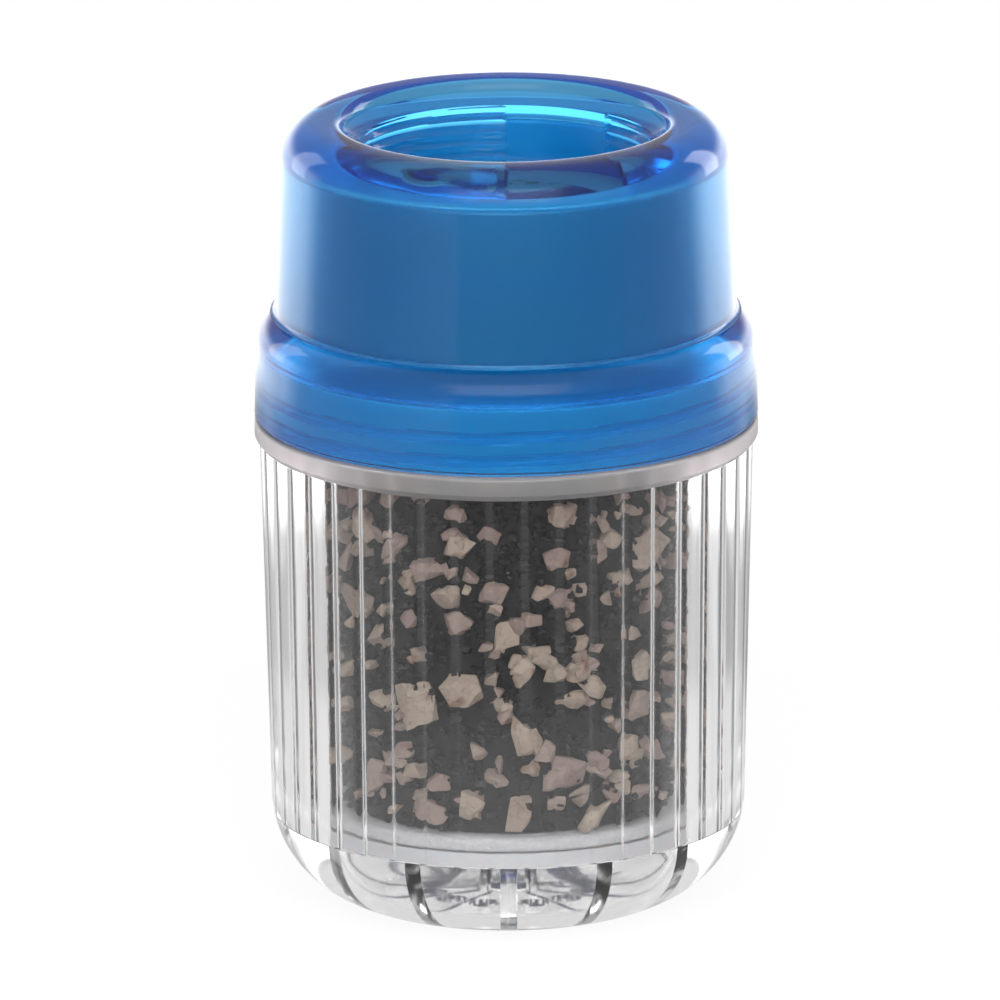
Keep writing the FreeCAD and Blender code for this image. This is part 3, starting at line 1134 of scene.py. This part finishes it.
@dataclass
class Studio:
    """The floor, the lamps, the white surroundings and the camera, in millimetres.

    For every ray but the camera's the floor glows with painted light: one level under the filter, the near
    levels round it and the far levels beyond, and each pair of distances says where one gives way to the
    next. The dimmer levels under and round the filter are a painted shadow of the filter. The surroundings
    have the far levels at the horizon and one level higher up.
    """

    distance: float = 1500.0
    elevation: float = math.radians(15.53)
    aim_height: float = 31.0
    pixels_per_mm: float = 12.57
    image: float = 1000.0
    aim_pixel: Pair = (506.8, 515.4)
    roll: float = math.radians(-0.3)
    sensor: float = 36.0
    clip_metres: Pair = (0.1, 20.0)
    soft_boxes: tuple[SoftBox, ...] = (
        SoftBox("soft_box_behind_right", (290, 230, 130), (110, 260), 2.6),
        SoftBox("soft_box_behind_left", (-290, 230, 130), (110, 260), 1.4),
        SoftBox("soft_box_top", (0, 40, 600), (420, 360), 0.9, reflected=False),
        SoftBox("soft_fill", (0, -900, 650), (1000, 800), 7.4, reflected=False),
    )
    floor_size: float = 6000.0
    floor_drop: float = 0.02
    lit_share: float = 0.9
    white_share: float = 0.93
    peak: float = 2.4
    far_levels: Pairs = (
        (-180, 0.1), (-157, 0.12), (-156, 0.4), (-123, 0.35), (-121, 0.3), (-75, 0.5), (-62, 2.0),
        (-24, 2.4), (24, 2.4), (62, 2.0), (75, 0.5), (120, 0.25), (155, 0.1), (180, 0.1),
    )
    near_levels: Pairs = (
        (-180, 0.1), (-160, 0.12), (-135, 0.4), (-115, 0.55), (-58, 0.55), (-46, 0.85), (-36, 0.5),
        (-18, 0.38), (0, 0.5), (17, 0.38), (36, 0.28), (46, 0.85), (58, 0.55), (115, 0.55), (135, 0.4),
        (160, 0.12), (180, 0.1),
    )
    under_level: float = 0.75
    under_to_near: Pair = (52.0, 72.8)
    near_to_far: Pair = (140.0, 190.0)
    high_level: float = 0.45
    high_slope: float = 0.25

    def brightness(self, tree: NodeTree, place: NodeSocket, levels: Pairs) -> NodeSocket:
        """Give the brightness of the studio by direction round the filter.

        Args:
            tree: The floor's or the world's node tree.
            place: A place on the floor or a direction.
            levels: Brightness at directions in degrees from straight behind.

        Returns:
            The brightness.
        """
        split = add_node(tree, "SeparateXYZ", {0: place})
        turn = add_node(tree, "Math", {0: split.outputs["X"], 1: split.outputs["Y"]}, operation="ARCTAN2")
        share = add_node(tree, "MapRange", {
            "Value": turn.outputs["Value"], "From Min": -math.pi, "From Max": math.pi})
        ramp = add_node(tree, "ValToRGB", {"Fac": share.outputs["Result"]})
        stops = ramp.color_ramp.elements
        while len(stops) < len(levels):
            stops.new(1.0)
        for stop, (degrees, level) in zip(stops, levels):
            stop.position = (degrees + 180) / 360
            stop.color = (level / self.peak, level / self.peak, level / self.peak, 1)
        scaled = add_node(tree, "Math", {0: ramp.outputs["Color"], 1: self.peak}, operation="MULTIPLY")
        return scaled.outputs["Value"]

    def floor(self) -> None:
        """Make the pale floor, which shows as white and keeps a faint shadow."""
        bm = bmesh.new()
        bmesh.ops.create_grid(bm, x_segments=1, y_segments=1, size=self.floor_size / 2 * MM,
                              matrix=Matrix.Translation((0, 0, -self.floor_drop * MM)))
        mesh = as_mesh(bm, "studio_floor")
        piece = bpy.data.objects.new("studio_floor", mesh)
        bpy.context.scene.collection.objects.link(piece)
        material, tree, output = new_material("white_paper_floor")
        coords = add_node(tree, "TexCoord")
        seen = add_node(tree, "LightPath")
        paper = add_node(tree, "BsdfDiffuse", {"Color": linear("F4F4F4")})
        white = add_node(tree, "Emission", {"Color": WHITE, "Strength": 1.0})
        away = add_node(tree, "VectorMath", {0: coords.outputs["Object"]}, operation="LENGTH")
        under, far = (soft_step(tree, away.outputs["Value"], start * MM, end * MM)
                      for start, end in (self.under_to_near, self.near_to_far))
        near_level, far_level = (self.brightness(tree, coords.outputs["Object"], levels)
                                 for levels in (self.near_levels, self.far_levels))
        # Under and round the filter the glow is dimmer: a painted shadow of the filter
        close = mixed_level(tree, under, self.under_level, near_level)
        level = mixed_level(tree, far, close, far_level)
        glow = add_node(tree, "Emission", {"Color": WHITE, "Strength": level})
        lit = add_node(tree, "MixShader", {
            0: self.lit_share, 1: paper.outputs["BSDF"], 2: glow.outputs["Emission"]})
        plain = add_node(tree, "MixShader", {
            0: self.white_share, 1: paper.outputs["BSDF"], 2: white.outputs["Emission"]})
        shown = add_node(tree, "MixShader", {
            0: seen.outputs["Is Camera Ray"], 1: lit.outputs["Shader"], 2: plain.outputs["Shader"]})
        tree.links.new(shown.outputs["Shader"], output.inputs["Surface"])
        mesh.materials.append(material)

    def lamp(self, box: SoftBox) -> None:
        """Hang a soft box.

        Args:
            box: Where it hangs, its size and its brightness.
        """
        lamp = bpy.data.lights.new(box.name, "AREA")
        lamp.shape = "RECTANGLE"
        lamp.size, lamp.size_y = box.size[0] * MM, box.size[1] * MM
        lamp.energy = box.radiance * math.pi * lamp.size * lamp.size_y
        holder = bpy.data.objects.new(box.name, lamp)
        holder.location = Vector(box.place) * MM
        towards = Vector((0, 0, self.aim_height * MM)) - holder.location
        holder.rotation_euler = towards.to_track_quat("-Z", "Y").to_euler()
        holder.visible_camera = False
        holder.visible_glossy = box.reflected
        bpy.context.scene.collection.objects.link(holder)

    def surroundings(self) -> None:
        """Make the world: white to the eye, while glass shows it bright behind, grey beside and dim above."""
        world = bpy.data.worlds.new("studio_world")
        bpy.context.scene.world = world
        world.use_nodes = True
        tree = world.node_tree
        tree.nodes.clear()
        output = add_node(tree, "OutputWorld")
        coords = add_node(tree, "TexCoord")
        height = add_node(tree, "SeparateXYZ", {0: coords.outputs["Generated"]})
        above = soft_step(tree, height.outputs["Z"], 0.0, self.high_slope)
        horizon = self.brightness(tree, coords.outputs["Generated"], self.far_levels)
        around = mixed_level(tree, above, horizon, self.high_level)
        seen = add_node(tree, "LightPath")
        level = mixed_level(tree, seen.outputs["Is Camera Ray"], around, 1.0)
        light = add_node(tree, "Background", {"Color": WHITE, "Strength": level})
        tree.links.new(light.outputs["Background"], output.inputs["Surface"])

    def camera(self) -> None:
        """Set the camera where the photograph was taken from."""
        data = bpy.data.cameras.new("photo_camera")
        data.sensor_width = self.sensor
        data.lens = self.pixels_per_mm * self.distance * self.sensor / self.image
        data.shift_x = (self.image / 2 - self.aim_pixel[0]) / self.image
        data.shift_y = (self.aim_pixel[1] - self.image / 2) / self.image
        data.clip_start, data.clip_end = self.clip_metres
        holder = bpy.data.objects.new("photo_camera", data)
        back = self.distance * math.cos(self.elevation)
        up = self.distance * math.sin(self.elevation)
        place = Matrix.Translation(Vector((0, -back, self.aim_height + up)) * MM)
        tilt = Matrix.Rotation(math.pi / 2 - self.elevation, 4, "X")
        holder.matrix_world = place @ tilt @ Matrix.Rotation(self.roll, 4, "Z")
        bpy.context.scene.collection.objects.link(holder)
        bpy.context.scene.camera = holder

    def build(self) -> None:
        """Set up the studio."""
        self.floor()
        for box in self.soft_boxes:
            self.lamp(box)
        self.surroundings()
        self.camera()
        scene = bpy.context.scene
        scene.view_settings.view_transform = "Standard"
        scene.cycles.max_bounces = 22
        scene.cycles.transmission_bounces = 20
        scene.cycles.glossy_bounces = 6
        scene.cycles.diffuse_bounces = 2
        scene.cycles.volume_bounces = 0


def main() -> None:
    """Build the filter from the inside out, then the studio."""
    logging.basicConfig(level=logging.INFO, format="%(message)s")
    FilterBed().build()
    Layers().build()
    Cup().build()
    Cap().build()
    Studio().build()


if __name__ == "__main__":
    main()
